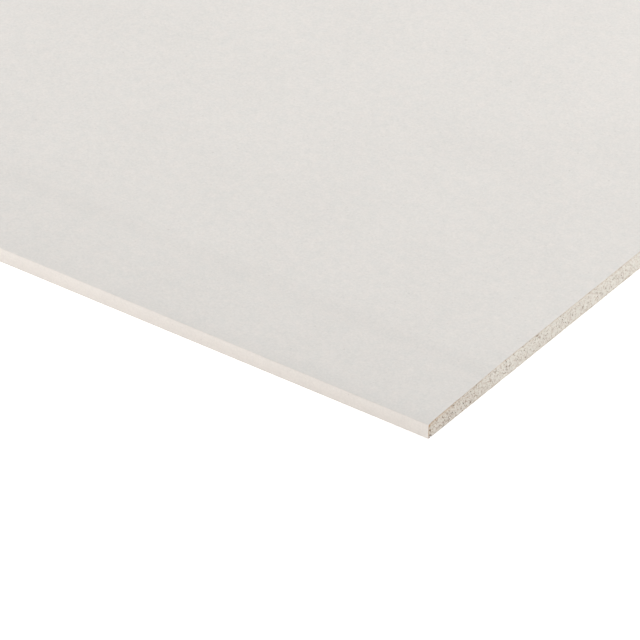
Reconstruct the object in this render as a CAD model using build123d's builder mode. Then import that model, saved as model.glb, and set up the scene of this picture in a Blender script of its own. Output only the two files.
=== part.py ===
"""Tapered-edge drywall sheet: a foamed gypsum core held between two papers.

The face paper wraps round both long edges and folds under the core as a flap. The back paper
is glued over the core's back and over the inner part of each flap. The rest of the flap is
pressed flush with it. Both ends are plain cuts, so all three pieces show there.

Frame: +X runs along the sheet, +Y across it, +Z up through the face. The origin is the centre
of the back, where the sheet rests. Sizes are in millimetres.
"""

import os

from build123d import *

# The sheet as it is sold
sheet_length = 2400.0
sheet_width = 1200.0
sheet_thickness = 12.5

# The tapered long edges: the face drops towards each edge to leave room for joint compound.
# From the flat face outwards there is a short steeper step, a gentle slope and a roll-off.
taper_width = 68.0
taper_depth = 2.4
step_width = 14.0
step_depth = 0.6
step_radius = 200.0  # soft bends at both sides of the step
roll_width = 9.0
roll_depth = 0.9
roll_radius = 80.0  # soft bend where the roll-off starts
face_arris_radius = 0.9  # paper bent over the edge, outside
back_arris_radius = 0.25

# The papers
face_paper_thickness = 0.4
back_paper_thickness = 0.35
flap_width = 32.0  # face paper folded under the core, from the long edge
back_paper_margin = 16.0  # flap left bare along the long edge, flush with the back paper

# Heights and half widths that follow from them
half_length = sheet_length / 2
half_width = sheet_width / 2
edge_top = sheet_thickness - taper_depth
step_inner_y = half_width - taper_width
step_outer_y = step_inner_y + step_width
step_foot = sheet_thickness - step_depth
roll_y = half_width - roll_width
roll_top = edge_top + roll_depth
flap_top = back_paper_thickness + face_paper_thickness
flap_inner_y = half_width - flap_width
flap_step_y = half_width - back_paper_margin

# Outer face of the face paper all round the section, closed across the back
with BuildSketch(Plane.YZ) as wrap_section:
    with BuildLine():
        Polyline(
            (0, back_paper_thickness),
            (flap_step_y, back_paper_thickness),
            (flap_step_y, 0),
            (half_width, 0),
            (half_width, edge_top),
            (roll_y, roll_top),
            (step_outer_y, step_foot),
            (step_inner_y, sheet_thickness),
            (0, sheet_thickness),
        )
        mirror(about=Plane.YZ)
    make_face()
    corners = vertices().group_by(Axis.X)
    long_edge_corners = corners[0] + corners[-1]
    face_bends = vertices().filter_by(lambda corner: corner.Y > (edge_top + roll_top) / 2)
    roll_bends = face_bends.group_by(Axis.X)[0] + face_bends.group_by(Axis.X)[-1]
    step_bends = face_bends - roll_bends
    fillet(long_edge_corners.group_by(Axis.Y)[0], radius=back_arris_radius)
    fillet(long_edge_corners.group_by(Axis.Y)[-1], radius=face_arris_radius)
    fillet(roll_bends, radius=roll_radius)
    fillet(step_bends, radius=step_radius)

# The core fills the wrap, and between the flaps it reaches down to the back paper
with BuildSketch(Plane.YZ) as core_section:
    add(wrap_section.sketch_local)
    offset(amount=-face_paper_thickness, kind=Kind.INTERSECTION, mode=Mode.REPLACE)
    with Locations((0, flap_top)):
        Rectangle(
            2 * flap_inner_y,
            face_paper_thickness,
            align=(Align.CENTER, Align.MAX),
        )

# Foamed gypsum, cast between the papers and cut to length
with BuildPart() as gypsum_core:
    with BuildSketch(Plane.YZ):
        add(core_section.sketch_local)
    extrude(amount=half_length, both=True)
gypsum_core.part.label = "gypsum_core"

# One web of paper: the face, the two long edges and the two flaps
with BuildPart() as face_paper:
    with BuildSketch(Plane.YZ):
        add(wrap_section.sketch_local)
        add(core_section.sketch_local, mode=Mode.SUBTRACT)
    extrude(amount=half_length, both=True)
face_paper.part.label = "face_paper"

# The narrower web on the back, which laps over both flaps
with BuildPart() as back_paper:
    with BuildSketch(Plane.XY):
        Rectangle(sheet_length, sheet_width - 2 * back_paper_margin)
    extrude(amount=back_paper_thickness)
back_paper.part.label = "back_paper"

os.makedirs("parts", exist_ok=True)
for piece in (gypsum_core, face_paper, back_paper):
    export_step(piece.part, f"parts/{piece.part.label}.step")
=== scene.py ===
"""Drywall sheet: its looks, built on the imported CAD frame.

The sheet lies flat with its face up. A foamed gypsum core shows at both cut ends between a
pale face paper, which wraps round the two tapered long edges, and a grey-brown back paper.
Everything is in metres, in the CAD frame: +X along the sheet, +Y across it, +Z up.
"""

import functools
import math
import random

import bmesh
import bpy
from bpy.props import FloatProperty, FloatVectorProperty, IntProperty, PointerProperty
from mathutils import Matrix, Vector, noise


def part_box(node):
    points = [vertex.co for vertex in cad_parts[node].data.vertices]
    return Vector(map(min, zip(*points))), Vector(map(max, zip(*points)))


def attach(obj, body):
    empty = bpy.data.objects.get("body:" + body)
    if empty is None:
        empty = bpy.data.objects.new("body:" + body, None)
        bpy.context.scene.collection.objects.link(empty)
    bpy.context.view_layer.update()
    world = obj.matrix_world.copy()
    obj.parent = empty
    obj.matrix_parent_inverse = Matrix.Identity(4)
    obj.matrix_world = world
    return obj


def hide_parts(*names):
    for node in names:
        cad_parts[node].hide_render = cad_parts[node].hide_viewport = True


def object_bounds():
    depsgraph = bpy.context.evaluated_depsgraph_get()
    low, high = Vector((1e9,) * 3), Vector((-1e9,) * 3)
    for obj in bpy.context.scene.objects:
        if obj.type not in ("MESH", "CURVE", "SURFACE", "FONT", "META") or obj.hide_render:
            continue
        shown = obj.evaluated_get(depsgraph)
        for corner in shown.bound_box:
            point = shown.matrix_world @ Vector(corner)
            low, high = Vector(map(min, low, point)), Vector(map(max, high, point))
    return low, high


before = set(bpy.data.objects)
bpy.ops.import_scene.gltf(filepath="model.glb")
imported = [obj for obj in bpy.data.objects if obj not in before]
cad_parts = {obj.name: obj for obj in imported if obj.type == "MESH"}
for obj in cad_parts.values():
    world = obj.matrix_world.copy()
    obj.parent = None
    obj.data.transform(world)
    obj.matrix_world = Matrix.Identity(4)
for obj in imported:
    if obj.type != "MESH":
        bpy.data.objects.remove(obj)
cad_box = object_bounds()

bl_info = {
    "name": "Drywall sheet",
    "version": (1, 0, 0),
    "blender": (4, 5, 0),
    "location": "3D View > Sidebar > Drywall",
    "description": "Builds a tapered-edge drywall sheet with papers, a foamed core and a studio",
    "category": "Add Mesh",
}

MM = 0.001

# Two coordinates nearer than this are the same
SAME_PLACE = 1e-6

half_length, half_width, sheet_top = cad_box[1]
back_paper_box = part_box("back_paper")
core_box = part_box("gypsum_core")


def linear(hex_colour):
    """An sRGB hex colour as linear red, green and blue."""
    channels = [int(hex_colour[i : i + 2], 16) / 255 for i in (1, 3, 5)]
    return tuple(c / 12.92 if c <= 0.04045 else ((c + 0.055) / 1.055) ** 2.4 for c in channels)


def length(name, description, value):
    """A length property that is given in millimetres and kept in metres."""
    return FloatProperty(
        name=name,
        description=description,
        default=value * MM,
        min=0.0,
        precision=5,
        subtype="DISTANCE",
        unit="LENGTH",
    )


def colour(name, description, hex_colour):
    """A colour property that is given as sRGB hex and kept linear."""
    return FloatVectorProperty(
        name=name,
        description=description,
        default=linear(hex_colour),
        min=0.0,
        max=1.0,
        subtype="COLOR",
    )


class DrywallSizes(bpy.types.PropertyGroup):
    """Sizes of the papers, the taper and the relief of the cut ends."""

    taper_width: length("Taper width", "From the long edge to the flat of the face", 68)
    taper_depth: length("Taper depth", "How far the face drops at the long edge", 2.4)
    step_width: length("Step width", "Width of the steeper step next to the flat", 14)
    step_depth: length("Step depth", "How far the face drops in the step", 0.6)
    step_radius: length("Step radius", "Radius of the soft bends of the step", 200)
    roll_width: length("Roll-off width", "Width of the roll-off along the long edge", 9)
    roll_depth: length("Roll-off depth", "How far the face drops in the roll-off", 0.9)
    roll_radius: length("Roll-off radius", "Radius of the soft bend of the roll-off", 80)
    arris_radius: length("Arris radius", "Paper bent over the long edge, outside", 0.9)
    back_arris_radius: length("Back arris radius", "Paper bent under the core, outside", 0.25)
    face_paper_thickness: length("Face paper", "Thickness of the face paper", 0.4)
    flap_width: length("Flap width", "Face paper folded under the core", 32)
    fray: length("Fray", "How far the cut edges of the papers are torn back", 0.22)
    fray_pitch: length("Fray pitch", "Spacing of the tears along a cut edge", 0.8)
    pore_cell: length("Pore cell", "Spacing of the cells that hold the core's pores", 1.15)
    saw_relief: length("Saw relief", "Unevenness of the cut core", 0.07)
    seed: IntProperty(name="Seed", description="Start of the random relief", default=7)


class DrywallColours(bpy.types.PropertyGroup):
    """Colours of the papers and of the core."""

    face_paper: colour("Face paper", "Pale grey face paper", "#DCDAD6")
    face_paper_warm: colour("Warmer face paper", "Where its fibres are browner", "#DFDAD5")
    # Painted light: the paper on the upright long edge is drawn lighter than the face, for the
    # light that it gets from the floor
    lit_wrapped_edge: colour("Wrapped edge", "Face paper where it is bent round the edge", "#E7E0D9")
    paper_speck: colour("Specks", "Bits of bark and print in the recycled pulp", "#5E4636")
    paper_cut: colour("Cut face paper", "Brown inner plies at a cut edge", "#B6946C")
    back_paper: colour("Back paper", "Grey-brown recycled paper", "#A99F91")
    back_paper_cut: colour("Cut back paper", "Inner plies at a cut edge", "#CFC3B2")
    core: colour("Core", "Dry gypsum between the pores", "#EDE8DE")
    core_edge: colour("Core at the long edges", "Darker, coarser core", "#E4DDD2")
    # Painted shade: the brown dark inside the pores' hollows, and the darker one of the deepest
    # pits
    pore_shade: colour("Pores", "Inside of the pores", "#976A41")
    pit_shade: colour("Pits", "Inside of the deepest pits", "#5E3D1E")
    core_crystal: colour("Crystals", "Bright flecks of fresh gypsum", "#F9F5EF")
    core_under_paper: colour("Core under the paper", "Starch-stained core", "#C4A47C")


class DrywallStudio(bpy.types.PropertyGroup):
    """Radiance of the soft boxes' faces, strength of the sky and colour of the floor."""

    top_box: FloatProperty(name="Top box", description="Radiance", default=1.62, min=0.0)
    front_box: FloatProperty(name="Front box", description="Radiance", default=4.61, min=0.0)
    front_left_box: FloatProperty(
        name="Front left box", description="Radiance", default=2.54, min=0.0
    )
    right_box: FloatProperty(name="Right box", description="Radiance", default=3.75, min=0.0)
    left_box: FloatProperty(name="Left box", description="Radiance", default=3.58, min=0.0)
    sky: FloatProperty(name="Sky", description="Strength of the sky's light", default=0.4, min=0.0)
    floor: colour("Floor", "Matt white floor", "#F1F1F1")


# Meshes


def face_height(sizes, y):
    """Height of the sheet's face at a distance y from the middle, before the soft bends."""
    points = [
        (half_width, sheet_top - sizes.taper_depth),
        (half_width - sizes.roll_width, sheet_top - sizes.taper_depth + sizes.roll_depth),
        (half_width - sizes.taper_width + sizes.step_width, sheet_top - sizes.step_depth),
        (half_width - sizes.taper_width, sheet_top),
        (0.0, sheet_top),
    ]
    for (outer_y, outer_z), (inner_y, inner_z) in zip(points, points[1:]):
        if abs(y) >= inner_y:
            share = (outer_y - abs(y)) / (outer_y - inner_y)
            return outer_z + share * (inner_z - outer_z)
    return sheet_top


def round_bend(bm, y, z, radius, segments):
    """Rounds the two lengthwise edges at plus and minus y, at height z."""
    bends = [
        edge
        for edge in bm.edges
        if len(edge.link_faces) == 2
        and all(
            abs(abs(v.co.y) - y) < SAME_PLACE and abs(v.co.z - z) < SAME_PLACE
            for v in edge.verts
        )
    ]
    turn = bends[0].calc_face_angle()
    bmesh.ops.bevel(
        bm,
        geom=bends,
        offset=radius * math.tan(turn / 2),
        offset_type="OFFSET",
        segments=segments,
        profile=0.5,
        affect="EDGES",
        material=-1,
        clamp_overlap=False,
    )


def cut_across(bm, axis, place):
    """Adds a line of edges over the whole mesh at one place on an axis, on both sides."""
    for side in (-1, 1):
        point = Vector((0, 0, 0))
        point[axis] = side * place
        normal = Vector((0, 0, 0))
        normal[axis] = 1.0
        geometry = bm.verts[:] + bm.edges[:] + bm.faces[:]
        bmesh.ops.bisect_plane(bm, geom=geometry, plane_co=point, plane_no=normal)


def divide_end_edges(bm, pitch):
    """Divides the edges of both cut ends into pieces about one pitch long."""
    by_count = {}
    for edge in bm.edges:
        if all(abs(abs(v.co.x) - half_length) < SAME_PLACE for v in edge.verts):
            cuts = int(edge.calc_length() / pitch)
            if cuts:
                by_count.setdefault(cuts, []).append(edge)
    for cuts, edges in by_count.items():
        bmesh.ops.subdivide_edges(bm, edges=edges, cuts=cuts)


# Waves per metre, along the cut edges and up, that decide where the papers are torn
TEAR_WAVES = (110, 300)

# Each tear is between these shares of its full depth
TEAR_SHARES = (0.4, 1.0)

# Below this height they are torn deeper now and then: how often, and how far in millimetres
FOOT_HEIGHT = 1.0 * MM
FOOT_TEAR_CHANCE = 0.1
FOOT_TEAR = (0.1, 0.4)


def place_of(vert):
    """A vertex's coordinates to a thousandth of a millimetre."""
    return [round(coordinate, 6) for coordinate in vert.co]


def fray_ends(bm, depth, rng):
    """Pulls the vertices of both cut ends inwards, unevenly: about depth at most, more below."""
    along, up = TEAR_WAVES
    # cut_across leaves its vertices in another order each run, so they are visited by place
    ends = [vert for vert in bm.verts if abs(abs(vert.co.x) - half_length) < SAME_PLACE]
    for vert in sorted(ends, key=place_of):
        wave = 0.5 + 0.7 * noise.noise(Vector((vert.co.y * along, vert.co.z * up, vert.co.x)))
        torn = depth * max(wave, 0.0) * rng.uniform(*TEAR_SHARES)
        if vert.co.z < FOOT_HEIGHT and vert.co.x > 0.0:
            torn += foot_chip(vert.co.y)
        if vert.co.z < FOOT_HEIGHT and rng.random() < FOOT_TEAR_CHANCE:
            torn += rng.uniform(*FOOT_TEAR) * MM
        vert.co.x -= math.copysign(torn, vert.co.x)


def finish_piece(bm, name, material, node, sharp=35):
    """Makes the piece's object, with its material, its body and the CAD node it stands for.

    Edges that turn by more than sharp, in degrees, are shaded hard.
    """
    mesh = bpy.data.meshes.new(name)
    bm.to_mesh(mesh)
    bm.free()
    mesh.shade_smooth()
    mesh.set_sharp_from_angle(angle=math.radians(sharp))
    mesh.materials.append(material)
    piece = bpy.data.objects.new(name, mesh)
    bpy.context.scene.collection.objects.link(piece)
    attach(piece, "root")
    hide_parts(node)
    return piece


# Narrow bands of faces beside the soft bends and along the cut ends, which keep their
# shading off the flat face
BEND_BAND = 8 * MM
END_BAND = 3 * MM

# The back paper is pressed thin along its long edges over this width
BACK_PAPER_RIM = 0.15 * MM


def make_face_paper_mesh(sizes):
    """One web of paper: the face, the tapers, the long edges and the two flaps."""
    flap_under = back_paper_box[1].z
    flap_step_y = back_paper_box[1].y
    edge_top = sheet_top - sizes.taper_depth
    roll_y = half_width - sizes.roll_width
    step_outer_y = half_width - sizes.taper_width + sizes.step_width
    step_inner_y = half_width - sizes.taper_width
    half = [
        (half_width - sizes.flap_width, flap_under),
        (flap_step_y, flap_under),
        (flap_step_y, 0.0),
        (half_width, 0.0),
        (half_width, edge_top),
        (roll_y, edge_top + sizes.roll_depth),
        (step_outer_y, sheet_top - sizes.step_depth),
        (step_inner_y, sheet_top),
    ]
    section = half + [(-y, z) for y, z in reversed(half)]
    bm = bmesh.new()
    verts = [bm.verts.new((-half_length, y, z)) for y, z in section]
    edges = [bm.edges.new(pair) for pair in zip(verts, verts[1:])]
    swept = bmesh.ops.extrude_edge_only(bm, edges=edges)["geom"]
    moved = [item for item in swept if isinstance(item, bmesh.types.BMVert)]
    bmesh.ops.translate(bm, verts=moved, vec=(2 * half_length, 0, 0))
    round_bend(bm, half_width, 0.0, sizes.back_arris_radius, segments=5)
    round_bend(bm, half_width, edge_top, sizes.arris_radius, segments=6)
    round_bend(bm, roll_y, edge_top + sizes.roll_depth, sizes.roll_radius, segments=8)
    round_bend(bm, step_outer_y, sheet_top - sizes.step_depth, sizes.step_radius, segments=6)
    round_bend(bm, step_inner_y, sheet_top, sizes.step_radius, segments=6)
    cut_across(bm, 1, step_inner_y - BEND_BAND)
    cut_across(bm, 1, step_outer_y + BEND_BAND)
    cut_across(bm, 1, roll_y - BEND_BAND)
    cut_across(bm, 0, half_length - END_BAND)
    divide_end_edges(bm, sizes.fray_pitch)
    bmesh.ops.recalc_face_normals(bm, faces=bm.faces[:])
    top = max(bm.faces, key=lambda face: face.calc_center_median().z)
    if top.normal.z < 0:
        bmesh.ops.reverse_faces(bm, faces=bm.faces[:])
    inner_ply = bm.verts.layers.float.new("inner_ply")
    outside = set(bm.verts)
    bmesh.ops.solidify(bm, geom=bm.faces[:], thickness=sizes.face_paper_thickness)
    for vert in bm.verts:
        if vert not in outside:
            vert[inner_ply] = 1.0
    fray_ends(bm, sizes.fray, random.Random(sizes.seed))
    bmesh.ops.recalc_face_normals(bm, faces=bm.faces[:])
    return bm


def make_back_paper_mesh(sizes):
    """The narrower web on the back, with torn ends and thinned long edges."""
    low, high = back_paper_box
    bm = bmesh.new()
    bmesh.ops.create_grid(bm, x_segments=1, y_segments=1, size=1.0)
    bmesh.ops.scale(bm, verts=bm.verts[:], vec=(high.x, high.y, 1.0))
    cut_across(bm, 0, half_length - END_BAND)
    divide_end_edges(bm, sizes.fray_pitch)
    fray_ends(bm, sizes.fray, random.Random(sizes.seed + 1))
    lifted = bmesh.ops.extrude_face_region(bm, geom=bm.faces[:])["geom"]
    verts = [item for item in lifted if isinstance(item, bmesh.types.BMVert)]
    bmesh.ops.translate(bm, verts=verts, vec=(0, 0, high.z - low.z))
    bmesh.ops.recalc_face_normals(bm, faces=bm.faces[:])
    # The two long edges below, without the short pieces between the tears of the ends
    rims = [
        edge
        for edge in bm.edges
        if all(
            abs(abs(v.co.y) - high.y) < SAME_PLACE and abs(v.co.z - low.z) < SAME_PLACE
            for v in edge.verts
        )
        and edge.calc_length() > 1.0 * MM
    ]
    bmesh.ops.bevel(
        bm,
        geom=rims,
        offset=BACK_PAPER_RIM,
        segments=2,
        profile=0.5,
        affect="EDGES",
        material=-1,
    )
    return bm


# Sorts of pore: flat rim, width of the wall and depth, in millimetres
PIT_SORT = (0.03, 0.25, 1.80)
PORE_SORTS = (
    (0.04, 0.20, 0.90),
    (0.13, 0.18, 0.60),
    (0.20, 0.15, 0.45),
    (0.27, 0.12, 0.35),
    (0.33, 0.10, 0.25),
)

# Height, distance from the long edge and number of cells of the larger pits at the near corner
NEAR_CORNER_PITS = (
    (1.2 * MM, 2.1 * MM, 4),
    (5.7 * MM, 1.9 * MM, 1),
    (7.9 * MM, 8.1 * MM, 1),
    (1.7 * MM, 21.3 * MM, 1),
    (5.1 * MM, 24.3 * MM, 1),
    (8.9 * MM, 25.1 * MM, 1),
    (2.7 * MM, 33.5 * MM, 1),
    (4.5 * MM, 35.5 * MM, 1),
    (1.9 * MM, 42.5 * MM, 1),
    (2.9 * MM, 49.7 * MM, 1),
    (6.3 * MM, 80.1 * MM, 1),
    (2.5 * MM, 99.7 * MM, 1),
)

# Share of the cells that are pores, and how often each of the sorts comes: in the fine core,
# and what the coarsest core adds
PORE_SHARE = (0.13, 0.06)
PORE_WEIGHTS = ((0.0, 0.02), (0.1, 0.2), (0.4, 0.3), (1.2, 0.0), (2.2, 0.0))

# Chance that two cells of the coarsest core join into a larger one
JOIN_CHANCE = 0.008

# The corners of the cells move up and down in turn by this share of a row, which makes the
# bricks regular, and then wander by this share of a cell
CELL_ZIGZAG = 1 / 6
CELL_WOBBLE = 0.2

# The sawn core lies this far behind the papers' ends, and its relief has waves this long
SAWN_RECESS = 0.08 * MM
RELIEF_WAVE = 6 * MM

# Crumbled places along the core's outline: how often, and how deep in millimetres
CRUMBLE_CHANCE = 0.05
CRUMBLE = (0.2, 0.6)

# Distance from the long edge, half width and depth of the chip at the near corner's foot
FOOT_CHIP = (2.6 * MM, 0.7 * MM, 1.8 * MM)


def coarseness(y):
    """1 in the coarser core within 44 mm of the long edges, falling to 0 at 154 mm."""
    from_edge = half_width - abs(y)
    return max(0.0, min(1.0, 1.4 - from_edge / (110 * MM)))


def foot_chip(y):
    """How far the foot of the near corner is broken back at y."""
    from_edge, chip_half_width, depth = FOOT_CHIP
    return depth if abs(y + half_width - from_edge) < chip_half_width else 0.0


def make_core_mesh(sizes):
    """The foamed core: a prism whose two cut ends are tiled with cells, some of them pores."""
    rng = random.Random(sizes.seed + 2)
    core_half_width = core_box[1].y
    flap_inner_y = half_width - sizes.flap_width
    under_paper = sizes.face_paper_thickness
    flap_step_y = back_paper_box[1].y + under_paper
    bottoms = [
        (flap_inner_y, core_box[0].z),
        (flap_step_y, core_box[0].z + under_paper),
        (half_width, under_paper),
    ]
    columns = 2 * round(2 * core_half_width / sizes.pore_cell)
    rows = round((core_box[1].z - core_box[0].z) / sizes.pore_cell)
    bm = bmesh.new()
    bmesh.ops.create_grid(bm, x_segments=columns, y_segments=rows, size=0.5)

    # Every other upright edge goes, in turn from row to row, so that six-sided bricks stay
    def column(vert):
        return round((vert.co.x + 0.5) * columns)

    def row(vert):
        return round((vert.co.y + 0.5) * rows)

    uprights = [
        edge
        for edge in bm.edges
        if len(edge.link_faces) == 2
        and column(edge.verts[0]) == column(edge.verts[1])
        and (column(edge.verts[0]) + min(row(v) for v in edge.verts)) % 2
    ]
    bmesh.ops.dissolve_edges(bm, edges=uprights, use_verts=False)

    # Stand the tiling up at the right-hand end and shape it to the section
    below_face = bm.verts.layers.float.new("below_face")
    pore_depth = bm.verts.layers.float.new("pore_depth")
    fixed_places = {}
    for y in (flap_inner_y, flap_step_y):
        i = round((y / core_half_width * 0.5 + 0.5) * columns)
        fixed_places[i] = y
        fixed_places[columns - i] = -y
    for vert in bm.verts:
        i, j = column(vert), row(vert)
        y = fixed_places.get(i, (2 * i / columns - 1) * core_half_width)
        bottom = next(z for outer_y, z in bottoms if abs(y) <= outer_y + SAME_PLACE)
        top = face_height(sizes, y) - under_paper
        share = j / rows
        inside = 0 < j < rows and 0 < i < columns
        if inside:
            share += (-1 if (i + j) % 2 else 1) * CELL_ZIGZAG / rows
            share += rng.uniform(-CELL_WOBBLE, CELL_WOBBLE) / rows
            y += rng.uniform(-CELL_WOBBLE, CELL_WOBBLE) * sizes.pore_cell
        z = bottom + share * (top - bottom)
        wave = noise.noise(Vector((y, z, 0)) / RELIEF_WAVE)
        recess = SAWN_RECESS + sizes.saw_relief * (0.5 + 0.5 * wave) * rng.random()
        if not inside and rng.random() < CRUMBLE_CHANCE:
            recess += rng.uniform(*CRUMBLE) * MM
        if j == 0:
            recess += foot_chip(y)
        vert.co = (half_length - recess, y, z)
        vert[below_face] = top - z

    # The other end mirrors the tiling with a relief of its own, and walls join the two
    copy = bmesh.ops.duplicate(bm, geom=bm.verts[:] + bm.edges[:] + bm.faces[:])["geom"]
    left_verts = [item for item in copy if isinstance(item, bmesh.types.BMVert)]
    bmesh.ops.scale(bm, verts=left_verts, vec=(-1, 1, 1))
    rims = [edge for edge in bm.edges if len(edge.link_faces) == 1]
    bmesh.ops.bridge_loops(bm, edges=rims)
    bmesh.ops.recalc_face_normals(bm, faces=bm.faces[:])

    # Some cells of the coarser core near the long edges join into larger ones
    joined = []
    for edge in bm.edges:
        cells = [face for face in edge.link_faces if abs(face.normal.x) > 0.5]
        middle = (edge.verts[0].co + edge.verts[1].co) / 2
        if len(cells) == 2 and all(len(cell.verts) == 6 for cell in cells):
            if rng.random() < JOIN_CHANCE * coarseness(middle.y):
                joined.append(edge)
    bmesh.ops.dissolve_edges(bm, edges=joined, use_verts=False)

    # Pores: a flat rim, then a wall that narrows downwards
    cells = [face for face in bm.faces if abs(face.normal.x) > 0.5 and len(face.verts) >= 6]
    chosen = {sort: [] for sort in (PIT_SORT, *PORE_SORTS)}
    for height, from_edge, count in NEAR_CORNER_PITS:
        place = Vector((half_length, from_edge - half_width, height))
        cells.sort(key=lambda cell: (cell.calc_center_median() - place).length)
        nearest, cells = cells[:count], cells[count:]
        if count > 1:
            nearest = bmesh.ops.dissolve_faces(bm, faces=nearest)["region"]
        chosen[PIT_SORT if count > 1 else PORE_SORTS[0]] += nearest
    share, added = PORE_SHARE
    for cell in cells:
        coarse = coarseness(cell.calc_center_median().y)
        if rng.random() < share + added * coarse:
            weights = [fine + extra * coarse for fine, extra in PORE_WEIGHTS]
            chosen[rng.choices(PORE_SORTS, weights)[0]].append(cell)
    for (rim, wall, depth), faces in chosen.items():
        bmesh.ops.inset_individual(bm, faces=faces, thickness=rim * MM)
        bmesh.ops.inset_individual(bm, faces=faces, thickness=wall * MM, depth=-depth * MM)
        for face in faces:
            for vert in face.verts:
                vert[pore_depth] = depth
    # No pore reaches through the core's sides into the paper
    for vert in bm.verts:
        vert.co.y = max(-core_half_width, min(core_half_width, vert.co.y))
    bm.normal_update()
    lay_out_core(bm)
    return bm


# The core's map for baking: each cut end in strips that lie in rows, and beside them a narrow
# column for the sides that the papers hide
BAKE_STRIP = 150 * MM
BAKE_ROW = 16 * MM
BAKE_ROWS = 16
BAKE_MARGIN = 3 * MM
# Faces that lie nearer to an end than this belong to it
END_DEPTH = 4 * MM
# The rows' share of the map's width, and the place and width of the hidden sides' column
ROWS_WIDTH = 0.94
COLUMN_PLACE, COLUMN_WIDTH = 0.96, 0.03


def lay_out_core(bm):
    """Gives the core a map for baking, nearly all of it for the two cut ends."""
    bake_map = bm.loops.layers.uv.new("OFBake")
    strips = BAKE_ROWS // 2
    for face in bm.faces:
        middle = face.calc_center_median()
        at_end = abs(middle.x) > half_length - END_DEPTH
        strip = min(strips - 1, int((middle.y + half_width) / BAKE_STRIP))
        row = strip if middle.x > 0 else strips + strip
        for loop in face.loops:
            x, y, z = loop.vert.co
            if at_end:
                along = y + half_width - strip * BAKE_STRIP + BAKE_MARGIN
                u = ROWS_WIDTH * along / (BAKE_STRIP + 2 * BAKE_MARGIN)
                v = (row + (z + BAKE_MARGIN / 2) / BAKE_ROW) / BAKE_ROWS
            else:
                u = COLUMN_PLACE + COLUMN_WIDTH * (x / half_length + 1) / 2
                across = (y / half_width + 1) / 2
                # The upper and the lower side, then the two narrow ones above them
                if abs(face.normal.z) > 0.5:
                    v = (0.01 if face.normal.z > 0 else 0.49) + 0.46 * across
                else:
                    v = (0.960 if face.normal.y < 0 else 0.980) + 0.015 * z / sheet_top
            loop[bake_map].uv = (u, v)


# Materials

# A change of value that is soft at both ends
SOFT = {"interpolation_type": "SMOOTHSTEP"}

# A surface that faces along the sheet by more than this is a cut end
FACING_END = 0.6


def add_node(tree, kind, inputs=None, **settings):
    """Adds one shader node: its settings, then each input's value or what feeds it.

    A node that is given as a value feeds the input with its first output in use.
    """
    node = tree.nodes.new("ShaderNode" + kind)
    for name, value in settings.items():
        setattr(node, name, value)
    for name, value in (inputs or {}).items():
        if isinstance(value, bpy.types.Node):
            value = next(output for output in value.outputs if output.enabled)
        if isinstance(value, bpy.types.NodeSocket):
            tree.links.new(value, node.inputs[name])
        else:
            node.inputs[name].default_value = value
    return node


def new_nodes(owner):
    """Clears a material's or a world's nodes and gives the function that adds nodes to it."""
    owner.use_nodes = True
    owner.node_tree.nodes.clear()
    return functools.partial(add_node, owner.node_tree)


def per_metre(size_mm):
    """Texture scale at which one cell of a pattern is that many millimetres."""
    return 1000.0 / size_mm


def sum_of_patterns(add, start, patterns):
    """start plus each pattern times its strength, where a pattern swings round one half."""
    total = start
    for pattern, strength in patterns:
        swing = add("Math", {0: pattern, 1: 0.5}, operation="SUBTRACT")
        total = add("Math", {0: swing, 1: strength, 2: total}, operation="MULTIPLY_ADD")
    return total


def at_cut_end(add):
    """1 on the cut ends and 0 elsewhere."""
    normal = add("NewGeometry").outputs["Normal"]
    along = add("SeparateXYZ", {"Vector": normal}).outputs["X"]
    facing = add("Math", {0: along}, operation="ABSOLUTE")
    return add("Math", {0: facing, 1: FACING_END}, operation="GREATER_THAN")


def opaque(rgb):
    """A property's colour with the fourth value that sockets need."""
    return (rgb[0], rgb[1], rgb[2], 1.0)


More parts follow.
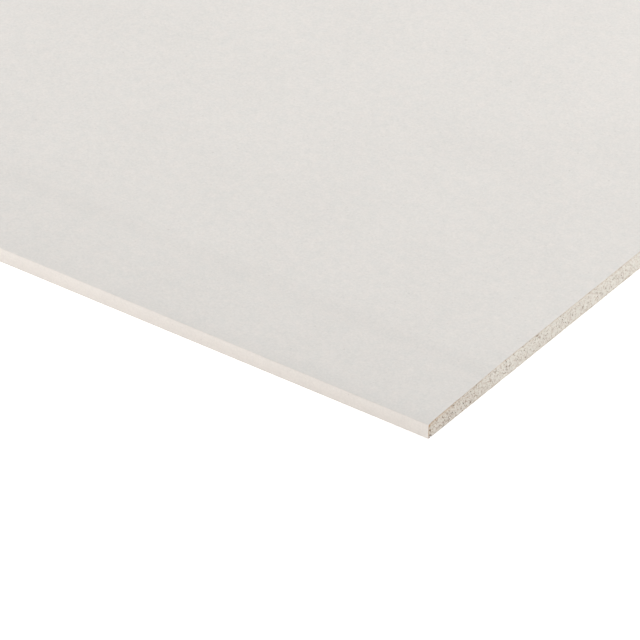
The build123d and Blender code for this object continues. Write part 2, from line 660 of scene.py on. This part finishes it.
def face_paper_material(colours, sizes):
    """Face paper: a recycled board liner, pressed smooth between rollers.

    That gives a matt, pale grey skin with soft fibre clouds, faint streaks along the web and a
    few dark bits. Cut across, it shows its brown inner plies.
    """
    material = bpy.data.materials.new("Calendered face paper")
    add = new_nodes(material)
    place = add("TexCoord").outputs["Object"]
    # Fibres are 0.03 mm wide, too fine to show, so their grain is drawn 1.5 mm coarse
    grain = add(
        "TexNoise", {"Vector": place, "Scale": per_metre(1.5), "Detail": 2.0, "Roughness": 0.7}
    )
    # Flocks of fibres are 3 to 7 mm wide, and the clouds of the whole web are 50 to 60 mm
    flocks = add(
        "TexNoise", {"Vector": place, "Scale": per_metre(7), "Detail": 2.0, "Roughness": 0.8}
    )
    clouds = add(
        "TexNoise", {"Vector": place, "Scale": per_metre(55), "Detail": 2.0, "Roughness": 0.6}
    )
    # Streaks of the paper machine, 600 mm long and 45 mm wide
    along_web = add(
        "Mapping", {"Vector": place, "Scale": (per_metre(600), per_metre(45), per_metre(45))}
    )
    streaks = add(
        "TexNoise", {"Vector": along_web, "Scale": 1.0, "Detail": 2.0, "Roughness": 0.5}
    )
    tone = sum_of_patterns(
        add, 1.0, [(grain, 0.205), (flocks, 0.084), (clouds, 0.04), (streaks, 0.03)]
    )

    # Painted shade on the taper's slopes, besides what the lamps give them, in three soft bands:
    # its step, the whole of it, its roll-off
    axes = add("SeparateXYZ", {"Vector": place})
    from_middle = add("Math", {0: axes.outputs["Y"]}, operation="ABSOLUTE")
    from_edge = add("Math", {0: half_width, 1: from_middle}, operation="SUBTRACT")
    step_start = sizes.taper_width - sizes.step_width - 3 * MM
    into_step = add("MapRange", {0: from_edge, 1: step_start, 2: step_start + 9 * MM}, **SOFT)
    out_of_step = add(
        "MapRange",
        {0: from_edge, 1: sizes.taper_width - 5 * MM, 2: sizes.taper_width + 4 * MM},
        **SOFT,
    )
    in_step = add("Math", {0: into_step, 1: out_of_step}, operation="SUBTRACT")
    on_taper = add("MapRange", {0: from_edge, 1: 90 * MM, 2: 20 * MM}, **SOFT)
    on_roll = add("MapRange", {0: from_edge, 1: 12 * MM, 2: 2 * MM}, **SOFT)
    for part, painted_shade in ((in_step, -0.016), (on_taper, -0.028), (on_roll, -0.010)):
        tone = add("Math", {0: part, 1: painted_shade, 2: tone}, operation="MULTIPLY_ADD")

    # Flocks of browner fibres, and painted light on the paper that is bent over the long edge: it
    # is drawn lighter, for the light that the upright edge gets from the floor, and warmer
    warmth = add(
        "TexNoise", {"Vector": place, "Scale": per_metre(7), "Detail": 3.0, "Roughness": 0.8}
    )
    warm = add("MapRange", {0: warmth, 1: 0.1, 2: 0.9}, **SOFT)
    base = add(
        "Mix",
        {0: warm, 6: opaque(colours.face_paper), 7: opaque(colours.face_paper_warm)},
        data_type="RGBA",
    )
    on_lit_edge = add(
        "MapRange", {0: from_middle, 1: half_width - 0.42 * MM, 2: half_width - 0.08 * MM}, **SOFT
    )
    base = add("Mix", {0: on_lit_edge, 6: base, 7: opaque(colours.lit_wrapped_edge)}, data_type="RGBA")
    specked = add("VectorMath", {0: base, "Scale": tone}, operation="SCALE")

    # The web laid flat, so that a bit on the upright long edge stays round
    down_web = add("Math", {0: axes.outputs["Y"], 1: axes.outputs["Z"]}, operation="ADD")
    laid_flat = add("CombineXYZ", {"X": axes.outputs["X"], "Y": down_web})
    # Bits in the pulp, large and rare or small and common: their spacing in millimetres, the
    # distances in spacings at which one ends and is full, how rare the dark ones are, and the
    # share of the darkest
    for spacing, outer, inner, rarity, darkest in (
        (26, 0.032, 0.010, 3.0, 0.16),
        (9, 0.065, 0.025, 1.0, 0.11),
    ):
        bits = add(
            "TexVoronoi",
            {"Vector": laid_flat, "Scale": per_metre(spacing)},
            voronoi_dimensions="2D",
        )
        on_bit = add("MapRange", {0: bits.outputs["Distance"], 1: outer, 2: inner}, **SOFT)
        chance = add("SeparateColor", {0: bits.outputs["Color"]}).outputs[0]
        darkness = add("Math", {0: chance, 1: rarity}, operation="POWER")
        darkness = add("Math", {0: darkness, 1: darkest}, operation="MULTIPLY")
        share = add("Math", {0: on_bit, 1: darkness}, operation="MULTIPLY")
        specked = add(
            "Mix", {0: share, 6: specked, 7: opaque(colours.paper_speck)}, data_type="RGBA"
        )

    # Brown inner plies at the cut ends, weaker on the flap and a little weaker further inwards
    ply = add("Attribute", attribute_name="inner_ply").outputs["Fac"]
    at_edge = add("MapRange", {0: from_edge, 1: 1.2 * MM, 2: 0.5 * MM}, **SOFT)
    ply = add("Math", {0: at_edge, 1: 0.35, 2: ply}, operation="MULTIPLY_ADD")
    inner_half = add("MapRange", {0: ply, 1: 0.45, 2: 0.85}, **SOFT)
    brown = add("Math", {0: at_cut_end(add), 1: inner_half}, operation="MULTIPLY")
    above_flap = add("MapRange", {0: axes.outputs["Z"], 1: 1.0 * MM, 2: 3.0 * MM}, **SOFT)
    inwards = add("MapRange", {0: from_edge, 1: 10 * MM, 2: 65 * MM}, **SOFT)
    for place_on_cut, gain, rest in ((above_flap, 0.7, 0.3), (inwards, -0.1, 1.0)):
        share = add("Math", {0: place_on_cut, 1: gain, 2: rest}, operation="MULTIPLY_ADD")
        brown = add("Math", {0: brown, 1: share}, operation="MULTIPLY")
    paper = add("Mix", {0: brown, 6: specked, 7: opaque(colours.paper_cut)}, data_type="RGBA")

    fibres = add("Bump", {"Height": grain, "Strength": 0.35, "Distance": 0.03 * MM})
    shader = add(
        "BsdfPrincipled", {"Base Color": paper, "Normal": fibres, "Roughness": 0.82, "IOR": 1.45}
    )
    add("OutputMaterial", {"Surface": shader})
    return material


def back_paper_material(colours):
    """Back paper: an unbleached recycled liner, left rough from the machine.

    That gives a dull grey-brown skin, mottled more strongly than the face. Cut across, it is
    paler.
    """
    material = bpy.data.materials.new("Recycled back paper")
    add = new_nodes(material)
    place = add("TexCoord").outputs["Object"]
    # Fibres are too fine to show, so their grain is drawn 1.8 mm coarse. Clouds are 22 mm
    grain = add(
        "TexNoise", {"Vector": place, "Scale": per_metre(1.8), "Detail": 3.0, "Roughness": 0.7}
    )
    clouds = add(
        "TexNoise", {"Vector": place, "Scale": per_metre(22), "Detail": 3.0, "Roughness": 0.7}
    )
    tone = sum_of_patterns(add, 1.0, [(grain, 0.22), (clouds, 0.12)])
    toned = add("VectorMath", {0: colours.back_paper, "Scale": tone}, operation="SCALE")
    paper = add(
        "Mix",
        {0: at_cut_end(add), 6: toned, 7: opaque(colours.back_paper_cut)},
        data_type="RGBA",
    )
    fibres = add("Bump", {"Height": grain, "Strength": 0.4, "Distance": 0.04 * MM})
    shader = add(
        "BsdfPrincipled", {"Base Color": paper, "Normal": fibres, "Roughness": 0.88, "IOR": 1.45}
    )
    add("OutputMaterial", {"Surface": shader})
    return material


def core_material(colours, sizes):
    """Core: foamed gypsum plaster, sawn across.

    That gives a chalky, dead matt cream, speckled brown by the painted shade of its bubbles and
    bright by fresh crystals, and stained brown by the starch next to the face paper.
    """
    material = bpy.data.materials.new("Sawn foamed gypsum")
    add = new_nodes(material)
    place = add("TexCoord").outputs["Object"]
    # Crystals are under 0.1 mm and most bubbles under 0.5 mm, too fine to show, so the grain is
    # drawn 0.6 mm coarse, the froth 0.7 mm, the bright flecks 1 mm and the bubbles 1.05 mm apart
    grain = add(
        "TexNoise", {"Vector": place, "Scale": per_metre(0.6), "Detail": 1.0, "Roughness": 0.7}
    )
    froth = add("TexVoronoi", {"Vector": place, "Scale": per_metre(0.7)})
    crystals = add("TexVoronoi", {"Vector": place, "Scale": per_metre(1.0)})
    bubbles = add("TexVoronoi", {"Vector": place, "Scale": per_metre(1.05)})
    # Lumps in the mix, 9 mm wide
    lumps = add(
        "TexNoise", {"Vector": place, "Scale": per_metre(9), "Detail": 2.0, "Roughness": 0.6}
    )
    chance = add("SeparateColor", {0: bubbles.outputs["Color"]}).outputs[0]
    bubble_size = add("Math", {0: chance, 1: 0.8, 2: 0.5}, operation="MULTIPLY_ADD")
    from_bubble = add(
        "Math", {0: bubbles.outputs["Distance"], 1: bubble_size}, operation="DIVIDE"
    )
    in_bubble = add("MapRange", {0: from_bubble, 1: 0.36, 2: 0.14}, **SOFT)
    in_froth = add("MapRange", {0: froth.outputs["Distance"], 1: 0.40, 2: 0.26}, **SOFT)
    in_crystal = add("MapRange", {0: crystals.outputs["Distance"], 1: 0.36, 2: 0.24}, **SOFT)

    # Distances from the long edge over which the core grows paler and less coarse inwards
    axes = add("SeparateXYZ", {"Vector": place})
    from_middle = add("Math", {0: axes.outputs["Y"]}, operation="ABSOLUTE")
    from_edge = add("Math", {0: half_width, 1: from_middle}, operation="SUBTRACT")
    inner = add("MapRange", {0: from_edge, 1: 12 * MM, 2: 120 * MM}, **SOFT)
    off_edge = add("MapRange", {0: from_edge, 1: 8 * MM, 2: 85 * MM}, **SOFT)
    near_edge = add("MapRange", {0: from_edge, 1: 44 * MM, 2: 14 * MM}, **SOFT)

    # The plain gypsum, with painted light along its foot next to the back paper, for the bounce
    # light that the floor's shadow takes away there
    base = add(
        "Mix",
        {0: off_edge, 6: opaque(colours.core_edge), 7: opaque(colours.core)},
        data_type="RGBA",
    )
    tone = sum_of_patterns(add, 1.0, [(grain, 0.35), (lumps, 0.05)])
    painted_light_at_foot = add("MapRange", {0: axes.outputs["Z"], 1: 3.0 * MM, 2: 0.8 * MM}, **SOFT)
    tone = add("Math", {0: painted_light_at_foot, 1: 0.055, 2: tone}, operation="MULTIPLY_ADD")
    dotted = add("VectorMath", {0: base, "Scale": tone}, operation="SCALE")

    # Froth, then bright flecks, then bubbles over them, which are fainter further inwards. Froth
    # and bubbles are painted shade: dark brown dots for the hollows of the pores
    bubble_strength = add("Math", {0: inner, 1: -0.25, 2: 1.0}, operation="MULTIPLY_ADD")
    for pattern, strength, dots in (
        (in_froth, 0.27, colours.pore_shade),
        (in_crystal, 0.35, colours.core_crystal),
        (in_bubble, bubble_strength, colours.pore_shade),
    ):
        share = add("Math", {0: pattern, 1: strength}, operation="MULTIPLY")
        dotted = add("Mix", {0: share, 6: dotted, 7: opaque(dots)}, data_type="RGBA")

    # Starch stain: a thin rim under the paper, all of the paper's side at the long edge, and a
    # faint one that reaches deeper near that edge
    below_face = add("Attribute", attribute_name="below_face").outputs["Fac"]
    rim = add("MapRange", {0: below_face, 1: 0.6 * MM, 2: 0.1 * MM}, **SOFT)
    rim_strength = add("Math", {0: near_edge, 1: 0.2, 2: 0.34}, operation="MULTIPLY_ADD")
    rim = add("Math", {0: rim, 1: rim_strength}, operation="MULTIPLY")
    beside_edge = add("MapRange", {0: from_edge, 1: 1.2 * MM, 2: 0.5 * MM}, **SOFT)
    beside_edge = add("Math", {0: beside_edge, 1: 0.75}, operation="MULTIPLY")
    stain = add("Math", {0: rim, 1: beside_edge}, operation="MAXIMUM")
    deep = add("MapRange", {0: below_face, 1: 4.2 * MM, 2: 0.2 * MM}, **SOFT)
    deep = add("Math", {0: deep, 1: near_edge}, operation="MULTIPLY")
    stain = add("Math", {0: deep, 1: 0.26, 2: stain}, operation="MULTIPLY_ADD")
    stained_and_shaded = add(
        "Mix", {0: stain, 6: dotted, 7: opaque(colours.core_under_paper)}, data_type="RGBA"
    )

    # The near corner is brown just under its arris
    corner = Vector((half_length, -half_width + 1.0 * MM, sheet_top - sizes.taper_depth - MM))
    to_corner = add("VectorMath", {0: place, 1: corner}, operation="DISTANCE")
    corner_patch = add("MapRange", {0: to_corner, 1: 1.9 * MM, 2: 0.6 * MM}, **SOFT)
    corner_patch = add("Math", {0: corner_patch, 1: 0.75}, operation="MULTIPLY")
    stained_and_shaded = add("Mix", {0: corner_patch, 6: stained_and_shaded, 7: opaque(colours.paper_cut)}, data_type="RGBA")

    # Painted shade in the modelled pores: browner and then darker the deeper they are, in
    # millimetres
    depth = add("Attribute", attribute_name="pore_depth").outputs["Fac"]
    for start, end, inside in ((0.0, 0.6, colours.pore_shade), (1.0, 1.7, colours.pit_shade)):
        share = add("MapRange", {0: depth, 1: start, 2: end}, **SOFT)
        stained_and_shaded = add("Mix", {0: share, 6: stained_and_shaded, 7: opaque(inside)}, data_type="RGBA")

    # Only the cut ends are sawn. The sides under the papers are plain
    from_centre = add("Math", {0: axes.outputs["X"]}, operation="ABSOLUTE")
    sawn = add(
        "MapRange",
        {0: from_centre, 1: half_length - 1.5 * END_DEPTH, 2: half_length - END_DEPTH},
        **SOFT,
    )
    gypsum = add("Mix", {0: sawn, 6: opaque(colours.core), 7: stained_and_shaded}, data_type="RGBA")
    height = add("Math", {0: in_bubble, 1: -1.0, 2: grain}, operation="MULTIPLY_ADD")
    height = add("Math", {0: in_froth, 1: -0.5, 2: height}, operation="MULTIPLY_ADD")
    height = add("Math", {0: height, 1: sawn}, operation="MULTIPLY")
    relief = add("Bump", {"Height": height, "Strength": 0.5, "Distance": 0.25 * MM})
    shader = add(
        "BsdfPrincipled", {"Base Color": gypsum, "Normal": relief, "Roughness": 0.95, "IOR": 1.52}
    )
    add("OutputMaterial", {"Surface": shader})
    return material


# Stage

# The lens, for an image 640 units wide, and where the near bottom corner is in that image,
# from its middle
IMAGE_UNITS = 640.0
SENSOR_WIDTH = 36.0
FOCAL_UNITS = 16000.0
UNITS_PER_METRE = 1719.7
CORNER_RIGHT = 428.38 - IMAGE_UNITS / 2
CORNER_UP = IMAGE_UNITS / 2 - 439.28

# The floor reaches past the picture from any angle, because the lens is long. It glows for the
# camera and in reflections only, to be white there. It lies just under the sheet's back
FLOOR_RADIUS = 60.0
FLOOR_GLOW = 0.63
FLOOR_GAP = 0.05 * MM


def place_camera():
    """A long lens from the front right, so that the sheet's edges run almost parallel."""
    azimuth = math.radians(35.20)
    elevation = math.radians(34.66)
    roll = math.radians(0.51)
    back = Vector(
        (
            math.sin(azimuth) * math.cos(elevation),
            -math.cos(azimuth) * math.cos(elevation),
            math.sin(elevation),
        )
    )
    level_right = Vector((math.cos(azimuth), math.sin(azimuth), 0.0))
    level_up = back.cross(level_right)
    right = level_right * math.cos(roll) + level_up * math.sin(roll)
    up = back.cross(right)
    distance = FOCAL_UNITS / UNITS_PER_METRE
    near_corner = Vector((half_length, -half_width, 0.0))
    place = near_corner + back * distance
    place -= right * (CORNER_RIGHT / UNITS_PER_METRE)
    place -= up * (CORNER_UP / UNITS_PER_METRE)
    data = bpy.data.cameras.new("Camera")
    data.lens = SENSOR_WIDTH * FOCAL_UNITS / IMAGE_UNITS
    data.sensor_width = SENSOR_WIDTH
    data.clip_start = 0.5
    data.clip_end = 200.0
    camera = bpy.data.objects.new("Camera", data)
    bpy.context.scene.collection.objects.link(camera)
    turn = Matrix((right, up, back)).transposed().to_4x4()
    camera.matrix_world = Matrix.Translation(place) @ turn
    bpy.context.scene.camera = camera


def add_soft_box(name, place, target, width, height, radiance):
    """A rectangular lamp with an even face of a given radiance."""
    data = bpy.data.lights.new(name, "AREA")
    data.shape = "RECTANGLE"
    data.size = width
    data.size_y = height
    data.energy = radiance * width * height * math.pi
    lamp = bpy.data.objects.new(name, data)
    bpy.context.scene.collection.objects.link(lamp)
    lamp.location = place
    lamp.rotation_mode = "QUATERNION"
    aim = Vector(target) - Vector(place)
    lamp.rotation_quaternion = aim.to_track_quat("-Z", "Y")
    lamp.visible_camera = False
    return lamp


def background_rays(add):
    """1 for the rays that should meet a white background."""
    path = add("LightPath")
    seen = add(
        "Math",
        {0: path.outputs["Is Camera Ray"], 1: path.outputs["Is Glossy Ray"]},
        operation="MAXIMUM",
    )
    return add("Math", {0: seen, 1: path.outputs["Is Transmission Ray"]}, operation="MAXIMUM")


# Operators and panel


class DRYWALL_OT_core(bpy.types.Operator):
    """Builds the foamed gypsum core with its pored cut ends"""

    bl_idname = "drywall.core"
    bl_label = "Gypsum core"

    def execute(self, context):
        sizes = context.scene.drywall_sizes
        bm = make_core_mesh(sizes)
        material = core_material(context.scene.drywall_colours, sizes)
        finish_piece(bm, "core_sawn", material, "gypsum_core", sharp=30)
        return {"FINISHED"}


class DRYWALL_OT_face_paper(bpy.types.Operator):
    """Builds the face paper with its tapers, wrapped long edges and flaps"""

    bl_idname = "drywall.face_paper"
    bl_label = "Face paper"

    def execute(self, context):
        sizes = context.scene.drywall_sizes
        bm = make_face_paper_mesh(sizes)
        material = face_paper_material(context.scene.drywall_colours, sizes)
        finish_piece(bm, "face_paper_wrapped", material, "face_paper")
        return {"FINISHED"}


class DRYWALL_OT_back_paper(bpy.types.Operator):
    """Builds the back paper that laps over the flaps"""

    bl_idname = "drywall.back_paper"
    bl_label = "Back paper"

    def execute(self, context):
        bm = make_back_paper_mesh(context.scene.drywall_sizes)
        material = back_paper_material(context.scene.drywall_colours)
        finish_piece(bm, "back_paper_lapped", material, "back_paper")
        return {"FINISHED"}


class DRYWALL_OT_studio(bpy.types.Operator):
    """Builds the white floor, the sky, the soft boxes and the camera"""

    bl_idname = "drywall.studio"
    bl_label = "Studio"

    def execute(self, context):
        studio = context.scene.drywall_studio
        context.scene.view_settings.view_transform = "Standard"

        bm = bmesh.new()
        bmesh.ops.create_circle(bm, cap_ends=True, segments=96, radius=FLOOR_RADIUS)
        mesh = bpy.data.meshes.new("Floor")
        bm.to_mesh(mesh)
        bm.free()
        floor = bpy.data.objects.new("Floor", mesh)
        context.scene.collection.objects.link(floor)
        floor.location.z = -FLOOR_GAP

        # Painted studio floor, matt white, which shows nothing but the sheet's soft shadow
        material = bpy.data.materials.new("Matt white floor")
        mesh.materials.append(material)
        add = new_nodes(material)
        matt = add("BsdfDiffuse", {"Color": opaque(studio.floor)})
        lift = add("Math", {0: background_rays(add), 1: FLOOR_GLOW}, operation="MULTIPLY")
        glow = add("Emission", {"Strength": lift})
        both = add("AddShader", {0: matt, 1: glow})
        add("OutputMaterial", {"Surface": both})

        world = bpy.data.worlds.new("Studio sky")
        context.scene.world = world
        add = new_nodes(world)
        strength = add(
            "MapRange", {"Value": background_rays(add), "To Min": studio.sky, "To Max": 1.0}
        )
        sky = add("Background", {"Color": (1, 1, 1, 1), "Strength": strength})
        add("OutputWorld", {"Surface": sky})

        # Name, place, the point that it faces, width, height and radiance
        for box in (
            ("Top box", (0.197, 0.992, 1.667), (0, -0.47, 0), 2.99, 2.03, studio.top_box),
            ("Front box", (0.567, -2.058, 0.346), (0.7, -0.6, 0), 1.0, 0.815, studio.front_box),
            (
                "Front left box",
                (-1.259, -1.726, 0.856),
                (-0.6, -0.6, 0),
                1.73,
                1.16,
                studio.front_left_box,
            ),
            ("Right box", (2.412, 0.521, 0.674), (1.2, -0.1, 0), 1.13, 1.025, studio.right_box),
            ("Left box", (-3.088, 1.187, 1.055), (-1.2, 0.2, 0), 1.55, 1.30, studio.left_box),
        ):
            add_soft_box(*box)
        place_camera()
        return {"FINISHED"}


class DRYWALL_PT_panel(bpy.types.Panel):
    """Lists the steps and the values of the drywall sheet"""

    bl_label = "Drywall sheet"
    bl_idname = "DRYWALL_PT_panel"
    bl_space_type = "VIEW_3D"
    bl_region_type = "UI"
    bl_category = "Drywall"

    def draw(self, context):
        layout = self.layout
        for operator in OPERATORS:
            layout.operator(operator.bl_idname)
        for group in ("drywall_sizes", "drywall_colours", "drywall_studio"):
            values = getattr(context.scene, group)
            box = layout.box()
            for name in values.bl_rna.properties.keys():
                if name not in ("rna_type", "name"):
                    box.prop(values, name)


GROUPS = {
    "drywall_sizes": DrywallSizes,
    "drywall_colours": DrywallColours,
    "drywall_studio": DrywallStudio,
}
OPERATORS = (
    DRYWALL_OT_core,
    DRYWALL_OT_face_paper,
    DRYWALL_OT_back_paper,
    DRYWALL_OT_studio,
)


def register():
    for cls in (*GROUPS.values(), *OPERATORS, DRYWALL_PT_panel):
        bpy.utils.register_class(cls)
    for name, cls in GROUPS.items():
        setattr(bpy.types.Scene, name, PointerProperty(type=cls))


def unregister():
    for name in GROUPS:
        delattr(bpy.types.Scene, name)
    for cls in reversed((*GROUPS.values(), *OPERATORS, DRYWALL_PT_panel)):
        bpy.utils.unregister_class(cls)


def main():
    register()
    bpy.ops.drywall.core()
    bpy.ops.drywall.face_paper()
    bpy.ops.drywall.back_paper()
    bpy.ops.drywall.studio()


if __name__ == "__main__":
    main()
